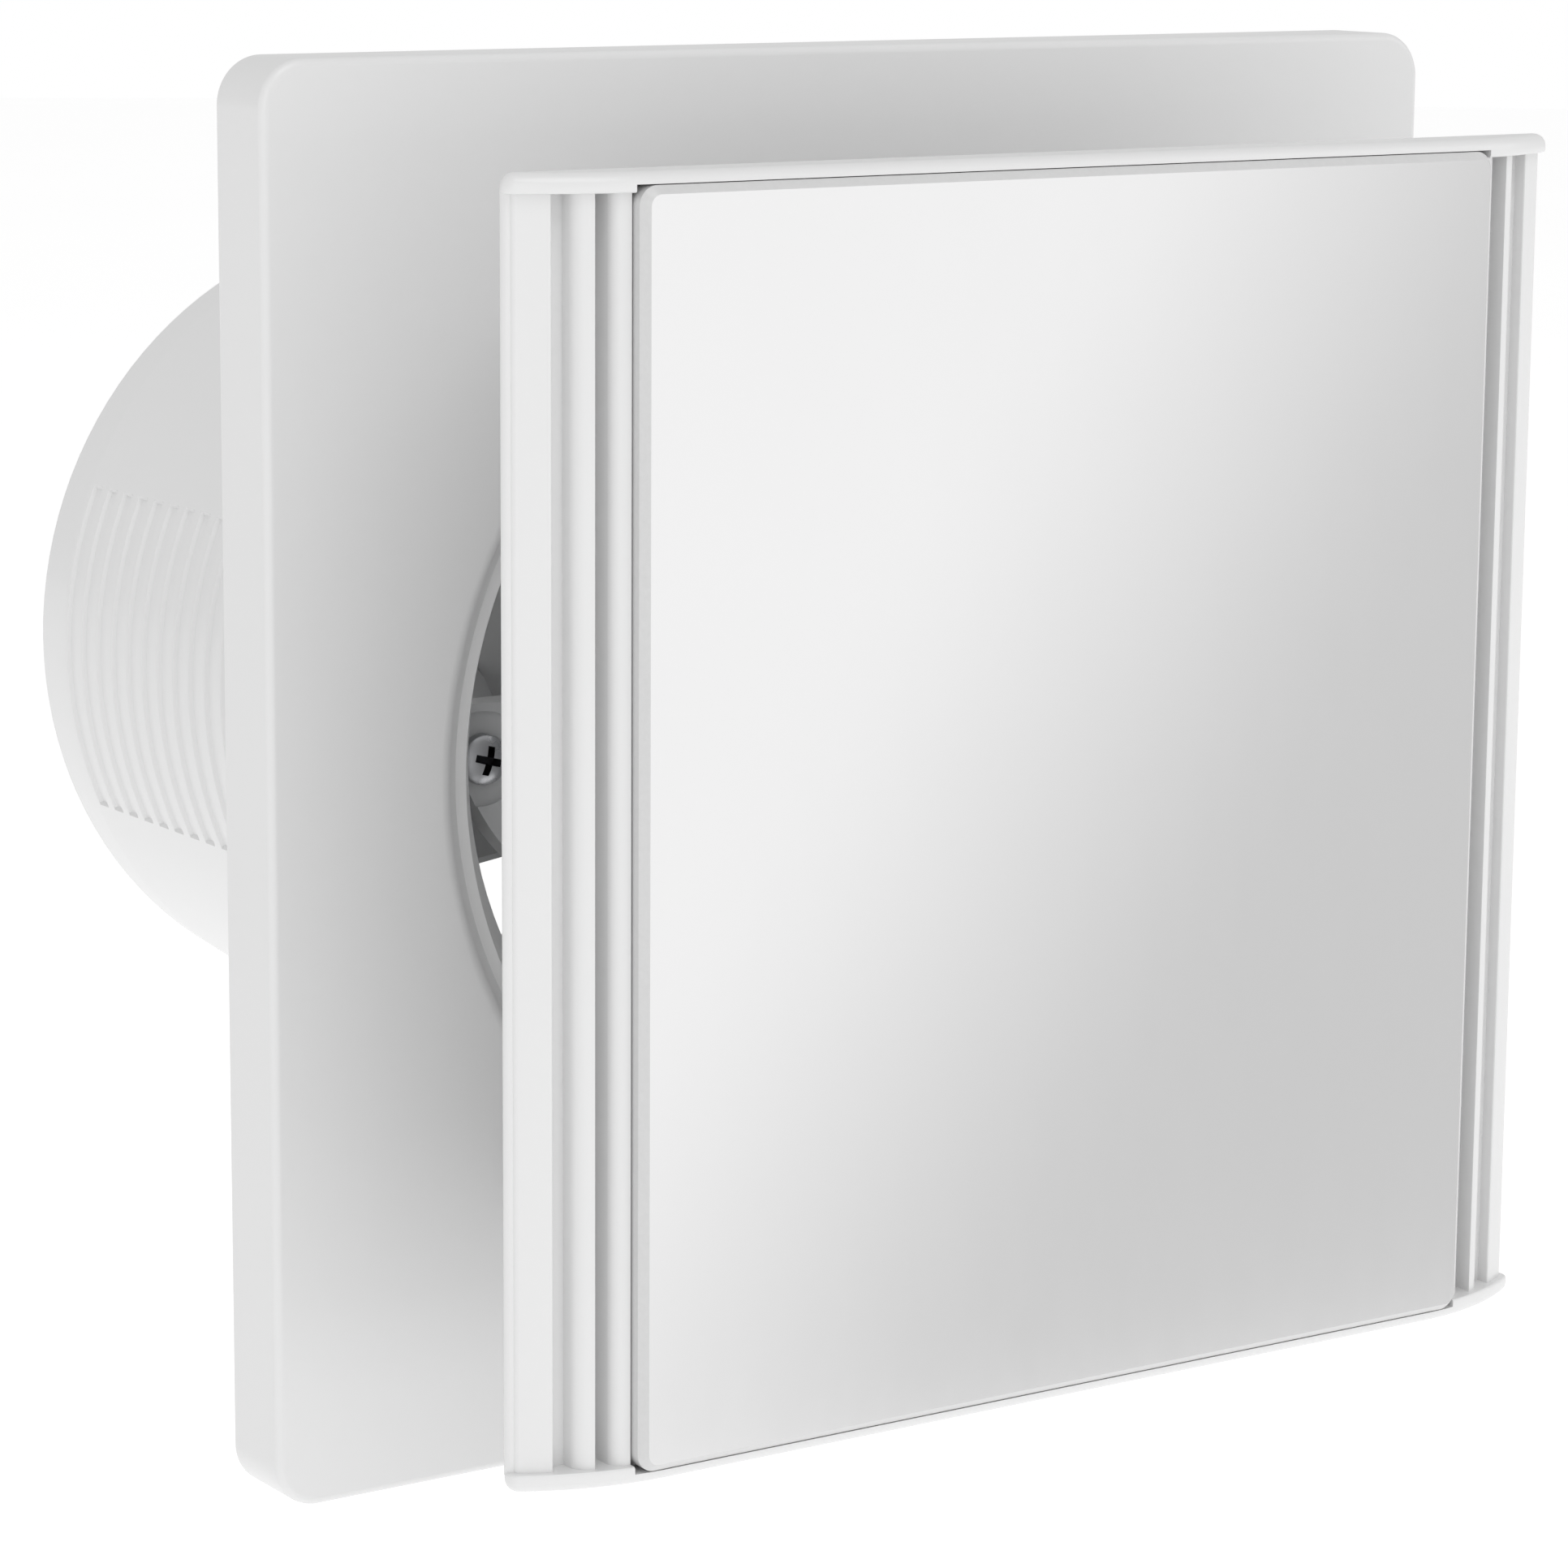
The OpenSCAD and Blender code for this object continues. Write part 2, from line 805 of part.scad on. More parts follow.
// Thick nylon washers between the rotor and the bushes
module thrust_washers() {
    color("ivory") {
        tube_y(3.6, shaft_r, bush_front_y[1] + 0.2, stack_y[0]);
        tube_y(3.6, shaft_r, stack_y[1], bush_rear_y[0] - 0.2);
    }
}

// Outline of a blade, axial by tangential: an arc with an even thickness
module blade_outline() {
    chord = (blade_y[1] - blade_y[0]) / sin(blade_pitch);
    sag = blade_curve_r - sqrt(pow(blade_curve_r, 2) - pow(chord / 2, 2));
    translate([(blade_y[0] + blade_y[1]) / 2, 0])
        rotate(blade_pitch - 90)
            intersection() {
                translate([0, blade_curve_r - sag / 2])
                    difference() {
                        circle(r = blade_curve_r + blade_t / 2);
                        circle(r = blade_curve_r - blade_t / 2);
                    }
                square([chord - 1.5, 4 * sag], center = true);
            }
}

// Axial fan wheel with a cup that covers the motor
module impeller() {
    color("whitesmoke")
    difference() {
        union() {
            rod_y(hub_r, hub_y[0], hub_y[1]);
            intersection() {
                for (i = [1 : blade_count])
                    rotate([0, blade_start + i * 360 / blade_count, 0])
                        translate([hub_r - 1, 0, 0])
                            rotate([90, 0, 90])
                                linear_extrude(blade_tip_r)
                                    blade_outline();
                rod_y(blade_tip_r, blade_y[0], blade_y[1]);
            }
        }
        difference() {
            rod_y(hub_r - hub_wall, hub_y[0] - 1, hub_y[1] - 2);
            rod_y(5, hub_y[1] - 3.4, hub_y[1]);
        }
        rod_y(shaft_r, hub_y[0], hub_y[1] + 1);
    }
}

// Toothed spring washer that keeps the wheel on the shaft
module impeller_clip() {
    color("silver")
    difference() {
        rod_y(5.6, hub_y[1], hub_y[1] + 0.7);
        rod_y(shaft_r, hub_y[1] - 1, hub_y[1] + 2);
        for (i = [1 : 3])
            rotate([0, i * 120 + 30, 0])
                translate([shaft_r - 0.5, hub_y[1] - 1, -0.35])
                    cube([2, 3, 0.7]);
    }
}

// Outline of the caps seen from above: flat in front, curved back to a small round at both ends
module cap_outline(inset) {
    curve = [cap_flat / 2, cap_curve_r - cover_front];
    end = [cover_w / 2 - cap_end_r, -cover_back - cap_end_r];
    past = curve + 1.2 * cap_curve_r * (end - curve) / norm(end - curve);
    intersection() {
        union() {
            translate([-cap_flat / 2, -cover_front + inset])
                square([cap_flat, cover_depth - inset]);
            for (side = [-1, 1])
                translate([side * curve[0], curve[1]])
                    circle(r = cap_curve_r - inset);
        }
        polygon([
            [-end[0], -cover_back - inset], [end[0], -cover_back - inset], end, past,
            [-past[0], past[1]], [-end[0], end[1]]
        ]);
    }
    for (side = [-1, 1])
        translate([side * end[0], end[1]])
            circle(r = cap_end_r - inset);
}

// One fin, cut from the outline of the caps
module fin(x0, t) {
    translate([0, 0, -cap_inner - e])
        linear_extrude(2 * cap_inner + 2 * e)
            intersection() {
                cap_outline(fin_set_back);
                translate([x0, -cover_front])
                    square([t, cover_depth]);
            }
}

// Round bead along the back edge of the outermost fin
module fin_bead() {
    translate([cover_w / 2 - fin_bead_set_in, -cover_back - fin_set_back, -cap_inner - e])
        cylinder(r = fin_bead_r, h = 2 * cap_inner + 2 * e);
}

// Caps, fins, the board behind the glass and the four pegs, one white moulding
module cover_frame() {
    color("white") {
        for (side = [0, 1])
            mirror([0, 0, side])
                difference() {
                    translate([0, 0, cap_inner])
                        linear_extrude(cap_t)
                            cap_outline(0);
                    translate([-fin_3_x, -cover_front - 1, cap_inner - 1])
                        cube([2 * fin_3_x, cover_depth + 2, cap_recess + 1]);
                }
        for (side = [0, 1])
            mirror([side, 0, 0]) {
                fin(fin_3_x, fin_t);
                fin(fin_2_x, fin_t);
                fin(fin_1_x, fin_1_t);
                fin_bead();
                translate([fin_3_x, -cover_back - fin_set_back - fin_web_t, -cap_inner - e])
                    cube([fin_1_x - fin_3_x + 1, fin_web_t, 2 * cap_inner + 2 * e]);
            }
        translate([-fin_3_x - 1, -board_front, -board_z])
            cube([2 * fin_3_x + 2, board_t, 2 * board_z]);
        for (x = [-peg[0], peg[0]])
            translate([x - 0.7, -board_back - e, -board_z])
                cube([1.4, board_rib, 2 * board_z]);
        for (z = [-peg[1], 0, peg[1]])
            translate([-fin_3_x, -board_back - e, z - 0.7])
                cube([2 * fin_3_x, board_rib, 1.4]);
        at_corners(peg[0], peg[1]) {
            rod_y(4, -board_back - e, -plate_depth - 1.5);
            rod_y(peg_r, -plate_depth - 2, peg_end - 0.8);
            cone_y(peg_r, peg_r - 0.7, peg_end - 0.8, peg_end);
        }
    }
}

// Glass sheet with a ground bevel all round
module glass_panel() {
    color("silver")
    hull() {
        along_y(-glass_front + glass_bevel, -glass_front + glass_t)
            rounded_rectangle(glass_w, glass_h, glass_corner_r, $fn = 32);
        along_y(-glass_front, -glass_front + e)
            rounded_rectangle(glass_w - 2 * glass_bevel, glass_h - 2 * glass_bevel,
                glass_corner_r - glass_bevel / 2, $fn = 32);
    }
}

// Foam tape between the board and the glass
module adhesive_pads() {
    color("gray")
    for (x = [-36, 0, 36])
        translate([x - 6, -board_front - pad_t, -50])
            cube([12, pad_t, 100]);
}

duct_housing();
back_plate();
front_plate();
plate_screws();
peg_grommets();
cable_grommet();
motor_bracket();
bracket_screws();
terminal_cover();
terminal_cover_screws();
terminal_block();
terminal_inserts();
terminal_screws();
cable_clamp();
clamp_screws();
gland_grommet();
motor_leads();
stator_core();
shading_rings();
coil_bobbins();
coil_windings();
front_bridge();
rear_bridge();
front_bush();
rear_bush();
bush_retainers();
motor_screws();
rotor_core();
rotor_cage();
shaft();
thrust_washers();
impeller();
impeller_clip();
cover_frame();
glass_panel();
adhesive_pads();
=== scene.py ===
from math import atan2, cos, pi, radians, sin, sqrt, tan

import bmesh
import bpy
from mathutils import Matrix, Vector


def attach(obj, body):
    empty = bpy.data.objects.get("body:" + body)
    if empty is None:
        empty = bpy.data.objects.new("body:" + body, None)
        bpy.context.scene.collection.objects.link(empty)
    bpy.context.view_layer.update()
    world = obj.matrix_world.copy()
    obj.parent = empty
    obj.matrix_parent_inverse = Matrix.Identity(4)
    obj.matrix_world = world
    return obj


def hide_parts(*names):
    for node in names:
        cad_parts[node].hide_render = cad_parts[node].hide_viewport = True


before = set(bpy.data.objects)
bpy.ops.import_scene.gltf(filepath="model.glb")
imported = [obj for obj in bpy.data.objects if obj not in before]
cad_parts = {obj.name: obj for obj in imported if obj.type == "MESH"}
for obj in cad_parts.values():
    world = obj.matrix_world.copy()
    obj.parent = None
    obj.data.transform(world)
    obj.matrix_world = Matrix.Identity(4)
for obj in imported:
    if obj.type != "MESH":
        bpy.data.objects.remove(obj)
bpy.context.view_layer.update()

MM = 0.001

# Sizes in millimetres, the same as the CAD part's except for the glass and WEB_INSET
PLATE_HALF = 75.0
PLATE_FRONT = -9.5
PLATE_CORNER = 5.0
PLATE_SKIN = 2.0
PLATE_EDGE = 0.9
FLANGE_FRONT = -2.4
THROAT_R = 48.8
MOUTH_SLOPE = 5.3
MOUTH_EDGE = 2.0
TUBE_OUT_R = THROAT_R + PLATE_SKIN
PEGS = (38.0, 47.0)
PEG_SEAT_R = 4.0
PEG_BOSS_WALL = 1.4
WALL_HOLES = (30.0, 58.0)
WALL_HOLE_R = 2.25
WALL_HEAD_R = 4.2
WALL_BOSS_WALL = 1
WALL_HEAD_DEEP = 2.5
SCREW_POSTS = (64.0, 64.0)
SCREW_POST_R = 3.2
CABLE_Z = -63.0
CABLE_HOLE_R = 6.0

DUCT_R = 49.0
DUCT_END = 98.5
DUCT_BORE_R = 47.2
DUCT_TAPER_FROM = 91.5
DUCT_END_R = 48.4
DUCT_RIM = 0.35
CHAMBER_R = 46.4
OUTLET_FROM = 45.0
COLLAR_R = 52.0
COLLAR_T = 1.1
GROOVES = 15
GROOVE_PITCH = 3.95
GROOVE_LAST = 89.3
GROOVE_DEPTH = 0.45
GROOVE_HALF_ANGLE = 23.5
GROOVE_FADE = 0.35
GROOVE_TOP = 2.3
GROOVE_FLOOR = 1.5
SCREW_CIRCLE = 43.4
COLUMN_R = 4.6
COLUMN_Y = (5.2, 14.6)
ARM_ANGLES = (180, 60, 300)
SCREW_SEAT = 2.2
SCREW_HEAD_R = 2.75
SCREW_HEAD_H = 2.1
DOME_SHARE = 1.55
SCREW_R = 1.25
SCREW_LENGTH = 9.5
THREAD_TURNS = 14
RECESS_SPAN = (1.72, 1.15)
RECESS_HALF_W = (0.43, 0.34)
RECESS_DEPTH = 1.3
RECESS_TURN = -15

COVER_HALF_H = 65.5
COVER_FRONT = -46.1
COVER_BACK = -39.2
CAP_T = 2.0
CAP_FLAT = 50.0
CAP_CURVE_R = 30.0
CAP_AXIS_Y = COVER_FRONT + CAP_CURVE_R
CAP_END = (64.4, -40.7)
CAP_END_R = 1.5
CAP_OUTER_EDGE = 1.3
CAP_INNER_EDGE = 0.25
CAP_INNER = COVER_HALF_H - CAP_T
CAP_RECESS = 0.8
FIN_SET_BACK = 0.8
FIN_BACK = COVER_BACK - FIN_SET_BACK
FINS = ((54.0, 55.9), (57.7, 59.6))
LAST_FIN = 61.7
FIN_EDGE = 0.3
FIN_ROUND = 1.3
WEB_T = 1.2
# Keeps the grooves' floor off the fins' back face, which would flicker if they shared a plane
WEB_INSET = 0.05
BEAD = (64.8, -40.0)
BEAD_R = 0.85
BOARD = (-43.1, -41.1)
BOARD_HALF = 55.0
RIB_T = 1.4
POST_R = 4.0
POST_END = -11.0
PEG_R = 2.5
PEG_END = -2.8

# The glass is 0.3 mm wider and 0.4 mm higher than the CAD's, to narrow the gap round it
GLASS_HALF_W = 53.85
GLASS_HALF_H = 64.2
GLASS_FRONT = -46.9
GLASS_BACK = -43.9
GLASS_BEVEL = 0.8
GLASS_CORNER = 2.0

# Points of a carried-over node closer than this are made one
WELD_WITHIN = 0.002

# The camera, in millimetres and degrees
CAMERA_AT = (-312.63, -456.13, 99.08)
CAMERA_TURN = 33.927
CAMERA_DOWN = 10.843
CAMERA_ROLL = 0.408
CAMERA_LENS = 116.24
SENSOR_WIDTH = 36

# Light: the world's strength, lamps as (name, direction, watts), the floor and the backdrop
WORLD = 0.68
LAMPS = (("key", (-0.6, -0.75, 0.25), 3.6), ("top", (-0.1, -0.7, 1.0), 8.5),
         ("right", (0.9, -0.5, 0.45), 3.0))
LAMP_SIZE = 1.4
LAMP_DISTANCE = 2.2
FLOOR_Z = -260.0
FLOOR_HALF = 6500.0
FLOOR_GLOW = 0.34
BACKDROP_R = 6000.0

# The card in front of the panel: its place, the band where it darkens, and how bright it is
CARD_Y = -500.0
CARD_BOX = (60.0, 760.0, -255.0, 260.0)
CARD_SLANT = 0.667
CARD_FALL = (345.0, 472.0)
CARD_GLOW = (1.06, 0.66)


# ---------------------------------------------------------------- mesh helpers

def mesh_from(name, verts, faces):
    """An object from points in millimetres."""
    mesh = bpy.data.meshes.new(name)
    mesh.from_pydata([[c * MM for c in v] for v in verts], [], faces)
    mesh.update()
    obj = bpy.data.objects.new(name, mesh)
    bpy.context.scene.collection.objects.link(obj)
    return obj


def outward(obj):
    """Turns every face so that it looks out of the closed shape."""
    work = bmesh.new()
    work.from_mesh(obj.data)
    bmesh.ops.recalc_face_normals(work, faces=work.faces)
    work.to_mesh(obj.data)
    work.free()
    return obj


def loft(name, rings, closed):
    """Quads from ring to ring; closed joins the last ring to the first, else both ends get a cap."""
    count = len(rings[0])
    verts = [p for ring in rings for p in ring]
    faces = []
    last = len(rings) if closed else len(rings) - 1
    for i in range(last):
        a = i * count
        b = ((i + 1) % len(rings)) * count
        for k in range(count):
            n = (k + 1) % count
            faces.append((a + k, a + n, b + n, b + k))
    if not closed:
        faces.append(tuple(range(count)))
        faces.append(tuple(range(len(verts) - count, len(verts))))
    return outward(mesh_from(name, verts, faces))


def circle_ring(r, y, count=192, at=(0.0, 0.0)):
    turn = 2 * pi / count
    return [(at[0] + r * cos(k * turn), y, at[1] + r * sin(k * turn)) for k in range(count)]


def square_ring(half_w, half_h, corner, y, straight=12, arc=24):
    """A rounded rectangle with the same point count as circle_ring has by default."""
    ring = []
    for quarter in range(4):
        flip = quarter % 2
        w, h = (half_h, half_w) if flip else (half_w, half_h)
        local = [(w, (h - corner) * k / straight) for k in range(straight)]
        for k in range(arc):
            a = pi / 2 * k / (arc - 1)
            local.append((w - corner + corner * cos(a), h - corner + corner * sin(a)))
        local += [((w - corner) * (1 - (k + 1) / straight), h) for k in range(straight - 1)]
        local.append((1e-4, h))
        for x, z in local:
            for _ in range(quarter):
                x, z = -z, x
            ring.append((x, y, z))
    return ring


def rod(name, r, y0, y1, at=(0.0, 0.0), count=48, edge=0.0):
    """A rod along Y, its two rims rounded by edge."""
    steps = 4 if edge else 0
    rings = []
    for k in range(steps + 1):
        a = pi / 2 * k / max(steps, 1)
        rings.append(circle_ring(r - edge + edge * sin(a), y0 + edge * (1 - cos(a)), count, at))
    for k in range(steps + 1):
        a = pi / 2 * k / max(steps, 1)
        rings.append(circle_ring(r - edge + edge * cos(a), y1 - edge + edge * sin(a), count, at))
    return loft(name, rings, False)


def turned(name, profile, count=192, at=(0.0, 0.0)):
    """A closed profile of (radius, depth) points turned about Y."""
    return loft(name, [circle_ring(r, y, count, at) for r, y in profile], True)


def block(name, lo, hi):
    """A box between two corners."""
    (x0, y0, z0), (x1, y1, z1) = lo, hi
    verts = [(x, y, z) for x in (x0, x1) for y in (y0, y1) for z in (z0, z1)]
    faces = [(0, 1, 3, 2), (4, 6, 7, 5), (0, 4, 5, 1), (2, 3, 7, 6), (0, 2, 6, 4), (1, 5, 7, 3)]
    return outward(mesh_from(name, verts, faces))


def prism(name, outline, z0, z1):
    """An outline in X and Y, extruded along Z."""
    rings = [[(x, y, z) for x, y in outline] for z in (z0, z1)]
    return loft(name, rings, False)


def bevel(obj, width, segments=3, angle=32):
    mod = obj.modifiers.new("edge", "BEVEL")
    mod.width = width * MM
    mod.segments = segments
    mod.limit_method = "ANGLE"
    mod.angle_limit = radians(angle)
    mod.use_clamp_overlap = True
    return obj


def settle(obj):
    """Applies the object's modifiers to its mesh."""
    bpy.context.view_layer.update()
    graph = bpy.context.evaluated_depsgraph_get()
    mesh = bpy.data.meshes.new_from_object(obj.evaluated_get(graph))
    obj.modifiers.clear()
    obj.data = mesh
    return obj


def boolean(obj, other, operation):
    mod = obj.modifiers.new(operation, "BOOLEAN")
    mod.operation = operation
    mod.solver = "EXACT"
    mod.object = other
    settle(obj)
    bpy.data.objects.remove(other)
    return obj


def joined(name, parts):
    """One mesh object out of several."""
    work = bmesh.new()
    for part in parts:
        settle(part)
        work.from_mesh(part.data)
        bpy.data.objects.remove(part)
    mesh = bpy.data.meshes.new(name)
    work.to_mesh(mesh)
    work.free()
    obj = bpy.data.objects.new(name, mesh)
    bpy.context.scene.collection.objects.link(obj)
    return obj


def smooth(obj, angle=38):
    """Smooth shading with sharp edges kept, and flat faces kept flat."""
    obj.data.shade_smooth()
    obj.data.set_sharp_from_angle(angle=radians(angle))
    mod = obj.modifiers.new("even", "WEIGHTED_NORMAL")
    mod.keep_sharp = True
    mod.weight = 90
    return obj


def place(obj, material, body, node):
    """Material, body and CAD node of a finished piece."""
    for m in (material if isinstance(material, (list, tuple)) else [material]):
        obj.data.materials.append(m)
    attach(obj, body)
    if node:
        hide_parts(node)
    return obj


# ---------------------------------------------------------------- materials

def new_material(name):
    mat = bpy.data.materials.new(name)
    mat.use_nodes = True
    nodes = mat.node_tree.nodes
    return mat, nodes, mat.node_tree.links, nodes["Principled BSDF"]


def noise(nodes, links, coords, scale, detail=3.0, rough=0.5):
    tex = nodes.new("ShaderNodeTexNoise")
    tex.inputs["Scale"].default_value = scale
    tex.inputs["Detail"].default_value = detail
    tex.inputs["Roughness"].default_value = rough
    links.new(coords, tex.inputs["Vector"])
    return tex.outputs["Fac"]


def ramp(nodes, links, fac, low, high, lo_at=0.3, hi_at=0.7):
    """Maps a 0-1 field to a number between low and high."""
    node = nodes.new("ShaderNodeMapRange")
    node.inputs["From Min"].default_value = lo_at
    node.inputs["From Max"].default_value = hi_at
    node.inputs["To Min"].default_value = low
    node.inputs["To Max"].default_value = high
    links.new(fac, node.inputs["Value"])
    return node.outputs["Result"]


def tint(nodes, links, fac, dark, light):
    node = nodes.new("ShaderNodeMix")
    node.data_type = "RGBA"
    node.inputs["A"].default_value = (*dark, 1)
    node.inputs["B"].default_value = (*light, 1)
    links.new(fac, node.inputs["Factor"])
    return node.outputs["Result"]


def bump(nodes, links, height, strength, distance):
    node = nodes.new("ShaderNodeBump")
    node.inputs["Strength"].default_value = strength
    node.inputs["Distance"].default_value = distance * MM
    links.new(height, node.inputs["Height"])
    return node.outputs["Normal"]


def object_coords(nodes, links, stretch=(1, 1, 1)):
    coords = nodes.new("ShaderNodeTexCoord")
    mapping = nodes.new("ShaderNodeMapping")
    mapping.inputs["Scale"].default_value = stretch
    links.new(coords.outputs["Object"], mapping.inputs["Vector"])
    return mapping.outputs["Vector"]


def plastic(name, dark, light, rough, coat=0.0):
    """Moulded plastic: fine grain, a slow colour drift and slightly uneven gloss."""
    mat, nodes, links, shader = new_material(name)
    at = object_coords(nodes, links)
    cloud = noise(nodes, links, at, 22, 3)
    links.new(tint(nodes, links, cloud, dark, light), shader.inputs["Base Color"])
    rubbed = noise(nodes, links, object_coords(nodes, links, (1, 1, 0.2)), 160, 5, 0.6)
    links.new(ramp(nodes, links, rubbed, rough * 0.97, rough * 1.04), shader.inputs["Roughness"])
    fine = noise(nodes, links, at, 9000, 2)
    links.new(bump(nodes, links, fine, 0.1, 0.004), shader.inputs["Normal"])
    shader.inputs["IOR"].default_value = 1.5
    shader.inputs["Coat Weight"].default_value = coat
    shader.inputs["Coat Roughness"].default_value = 0.1
    return mat


def metal(name, dark, light, rough, stretch=(1, 1, 1), scale=400, depth=0.01):
    """Metal with a direction of grain, a stained tint and uneven gloss."""
    mat, nodes, links, shader = new_material(name)
    at = object_coords(nodes, links, stretch)
    grain = noise(nodes, links, at, scale, 6, 0.6)
    stain = noise(nodes, links, object_coords(nodes, links), 90, 3)
    links.new(tint(nodes, links, stain, dark, light), shader.inputs["Base Color"])
    links.new(ramp(nodes, links, grain, rough * 0.75, rough * 1.35), shader.inputs["Roughness"])
    links.new(bump(nodes, links, grain, 0.3, depth), shader.inputs["Normal"])
    shader.inputs["Metallic"].default_value = 1.0
    return mat


def laminated(name):
    """Edges of stacked electrical steel: dark, with a line for every sheet."""
    mat, nodes, links, shader = new_material(name)
    at = object_coords(nodes, links)
    wave = nodes.new("ShaderNodeTexWave")
    wave.bands_direction = "Y"
    wave.inputs["Scale"].default_value = 320
    wave.inputs["Distortion"].default_value = 0.4
    links.new(at, wave.inputs["Vector"])
    links.new(tint(nodes, links, wave.outputs["Fac"], (0.10, 0.105, 0.115), (0.27, 0.28, 0.30)),
              shader.inputs["Base Color"])
    links.new(bump(nodes, links, wave.outputs["Fac"], 0.5, 0.08), shader.inputs["Normal"])
    oil = noise(nodes, links, at, 150, 4)
    links.new(ramp(nodes, links, oil, 0.3, 0.6), shader.inputs["Roughness"])
    shader.inputs["Metallic"].default_value = 0.8
    return mat


def wound(name):
    """Enamelled wire, laid turn by turn, with painted shade darkening its colour between the turns."""
    mat, nodes, links, shader = new_material(name)
    at = object_coords(nodes, links)
    wave = nodes.new("ShaderNodeTexWave")
    wave.bands_direction = "X"
    wave.wave_profile = "SIN"
    wave.inputs["Scale"].default_value = 700
    wave.inputs["Distortion"].default_value = 0.3
    links.new(at, wave.inputs["Vector"])
    # painted shade: the colour darkens in the valleys between turns, following the bump's bands
    links.new(tint(nodes, links, wave.outputs["Fac"], (0.22, 0.06, 0.02), (0.72, 0.33, 0.14)),
              shader.inputs["Base Color"])
    links.new(bump(nodes, links, wave.outputs["Fac"], 0.8, 0.15), shader.inputs["Normal"])
    shine = noise(nodes, links, at, 300, 3)
    links.new(ramp(nodes, links, shine, 0.22, 0.42), shader.inputs["Roughness"])
    shader.inputs["Metallic"].default_value = 0.9
    shader.inputs["Coat Weight"].default_value = 0.6
    return mat


def mirror_face(name):
    """Silvered glass: a soft reflection, a faint haze and hair-fine wipe marks."""
    mat, nodes, links, shader = new_material(name)
    at = object_coords(nodes, links)
    haze = noise(nodes, links, at, 14, 4, 0.55)
    links.new(tint(nodes, links, haze, (0.81, 0.808, 0.81), (0.85, 0.848, 0.85)),
              shader.inputs["Base Color"])
    wiped = noise(nodes, links, object_coords(nodes, links, (1, 1, 0.3)), 260, 5, 0.6)
    links.new(ramp(nodes, links, wiped, 0.115, 0.13), shader.inputs["Roughness"])
    ripple = noise(nodes, links, at, 9, 2)
    links.new(bump(nodes, links, ripple, 0.05, 0.02), shader.inputs["Normal"])
    shader.inputs["Metallic"].default_value = 0.9
    shader.inputs["Coat Weight"].default_value = 0.5
    shader.inputs["Coat Roughness"].default_value = 0.04
    return mat


def ground_glass(name):
    """The panel's ground edge: darker and duller than its face."""
    mat, nodes, links, shader = new_material(name)
    at = object_coords(nodes, links)
    grind = noise(nodes, links, at, 1600, 4, 0.7)
    links.new(tint(nodes, links, grind, (0.60, 0.60, 0.60), (0.68, 0.68, 0.68)),
              shader.inputs["Base Color"])
    links.new(ramp(nodes, links, grind, 0.28, 0.5), shader.inputs["Roughness"])
    links.new(bump(nodes, links, grind, 0.2, 0.01), shader.inputs["Normal"])
    shader.inputs["Coat Weight"].default_value = 0.3
    return mat


def rubber(name, dark, light, rough=0.75):
    """Rubber or PVC with a dusty, pitted skin."""
    mat, nodes, links, shader = new_material(name)
    at = object_coords(nodes, links)
    dust = noise(nodes, links, at, 260, 6, 0.7)
    links.new(tint(nodes, links, dust, dark, light), shader.inputs["Base Color"])
    links.new(ramp(nodes, links, dust, rough * 0.8, rough), shader.inputs["Roughness"])
    pits = noise(nodes, links, at, 2200, 3)
    links.new(bump(nodes, links, pits, 0.5, 0.05), shader.inputs["Normal"])
    return mat


WHITE = plastic("white_abs", (0.752, 0.752, 0.752), (0.772, 0.772, 0.772), 0.32, coat=0.2)
GREY = plastic("grey_moulding", (0.47, 0.475, 0.48), (0.53, 0.535, 0.54), 0.38)
WHEEL = plastic("white_wheel", (0.55, 0.555, 0.56), (0.62, 0.625, 0.63), 0.40)
IVORY = plastic("ivory_nylon", (0.66, 0.62, 0.48), (0.74, 0.70, 0.57), 0.42)
BLACK = plastic("black_nylon", (0.018, 0.018, 0.018), (0.035, 0.035, 0.035), 0.45)
ZINC = metal("zinc_steel", (0.40, 0.405, 0.42), (0.50, 0.505, 0.52), 0.30)
GROUND = metal("ground_steel", (0.55, 0.55, 0.56), (0.66, 0.66, 0.67), 0.20, (1, 8, 1))
CAST = metal("cast_aluminium", (0.52, 0.53, 0.54), (0.68, 0.69, 0.70), 0.48, scale=900, depth=0.06)
BRONZE = metal("bronze", (0.38, 0.24, 0.10), (0.56, 0.38, 0.19), 0.40, scale=1500, depth=0.03)
BRASS = metal("brass", (0.62, 0.45, 0.18), (0.78, 0.60, 0.30), 0.26)
COPPER = metal("copper", (0.50, 0.20, 0.09), (0.66, 0.30, 0.16), 0.30)
LAMINATED = laminated("lamination_steel")
WOUND = wound("copper_winding")
FACE = mirror_face("mirror_glass")
EDGE = ground_glass("mirror_glass_edge")
WIRE = rubber("blue_wire", (0.02, 0.09, 0.36), (0.05, 0.15, 0.48), 0.45)
RUBBER = rubber("grey_rubber", (0.075, 0.075, 0.08), (0.13, 0.13, 0.135))
# painted shade: near-black metal for the screws' cross recesses, darker than the zinc they are cut in
PAINTED_RECESS_SHADE = metal("screw_recess_painted_shade", (0.02, 0.02, 0.022), (0.05, 0.05, 0.055), 0.5)
PALE_RUBBER = rubber("pale_rubber", (0.50, 0.50, 0.50), (0.58, 0.58, 0.58))
FOAM = rubber("foam_tape", (0.17, 0.17, 0.175), (0.26, 0.26, 0.265), 0.95)


# ---------------------------------------------------------------- the pieces

def corner_points(pair):
    return [(sx * pair[0], sz * pair[1]) for sx in (-1, 1) for sz in (-1, 1)]


